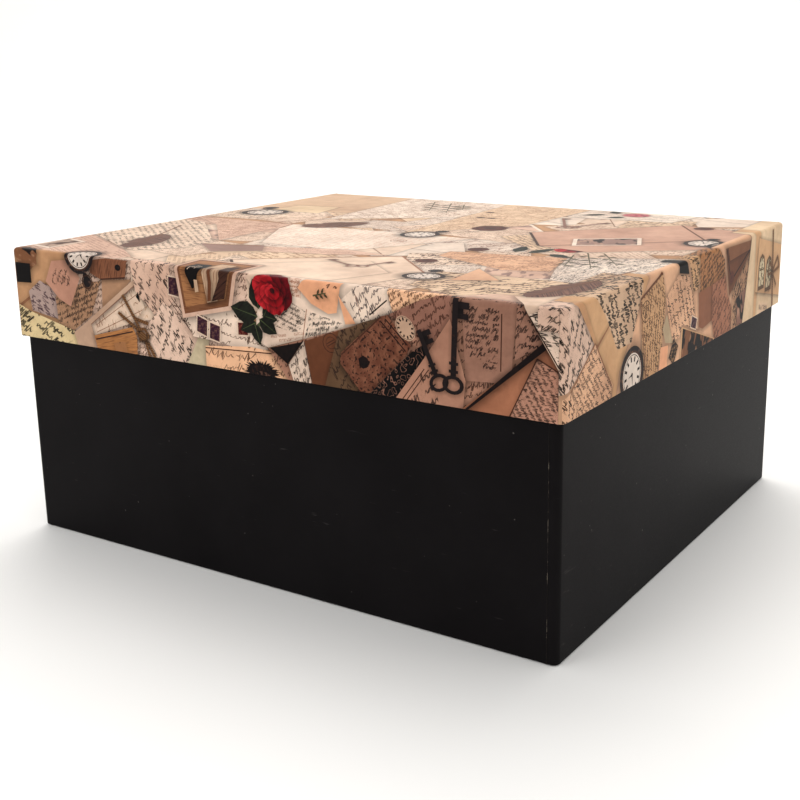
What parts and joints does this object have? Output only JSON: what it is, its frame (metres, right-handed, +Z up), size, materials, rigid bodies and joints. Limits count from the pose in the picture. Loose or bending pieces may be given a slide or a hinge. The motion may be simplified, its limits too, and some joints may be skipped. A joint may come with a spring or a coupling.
{
  "type": "gift box",
  "caption": "Rigid board gift box: a black paper-wrapped tray closed by a deep lift-off lid wrapped in a printed collage of old letters.",
  "frame": {"origin": "middle of the underside, on the surface that the box stands on", "axes": "+Z up, along the way the lid lifts; +X along the wide front; the front faces -Y"},
  "size_m": [0.35, 0.305, 0.168],
  "materials": {
    "grey_board": "matt grey board, hidden under the papers",
    "stay_tape": "matt gummed paper tape",
    "black_paper": "satin black paper with a fine grain",
    "bottom_paper": "matt black paper",
    "lining_paper": "matt ivory paper",
    "printed_paper": "satin printed art paper, collage of old letters in cream and sepia"
  },
  "bodies": {
    "base": {"base_bottom_board": "grey_board", "base_front_board": "grey_board", "base_back_board": "grey_board", "base_left_board": "grey_board", "base_right_board": "grey_board", "base_corner_stays": "stay_tape", "base_wrap": "black_paper", "base_bottom_sheet": "bottom_paper", "base_wall_lining": "lining_paper", "base_floor_lining": "lining_paper"},
    "lid": {"lid_top_board": "grey_board", "lid_front_board": "grey_board", "lid_back_board": "grey_board", "lid_left_board": "grey_board", "lid_right_board": "grey_board", "lid_corner_stays": "stay_tape", "lid_wrap": "printed_paper", "lid_lining": "lining_paper"}
  },
  "joints": [
    {"name": "lid_lift", "type": "slide", "parent": "base", "child": "lid", "axis": [0, 0, 1], "range_m": [0, 0.12]}
  ]
}
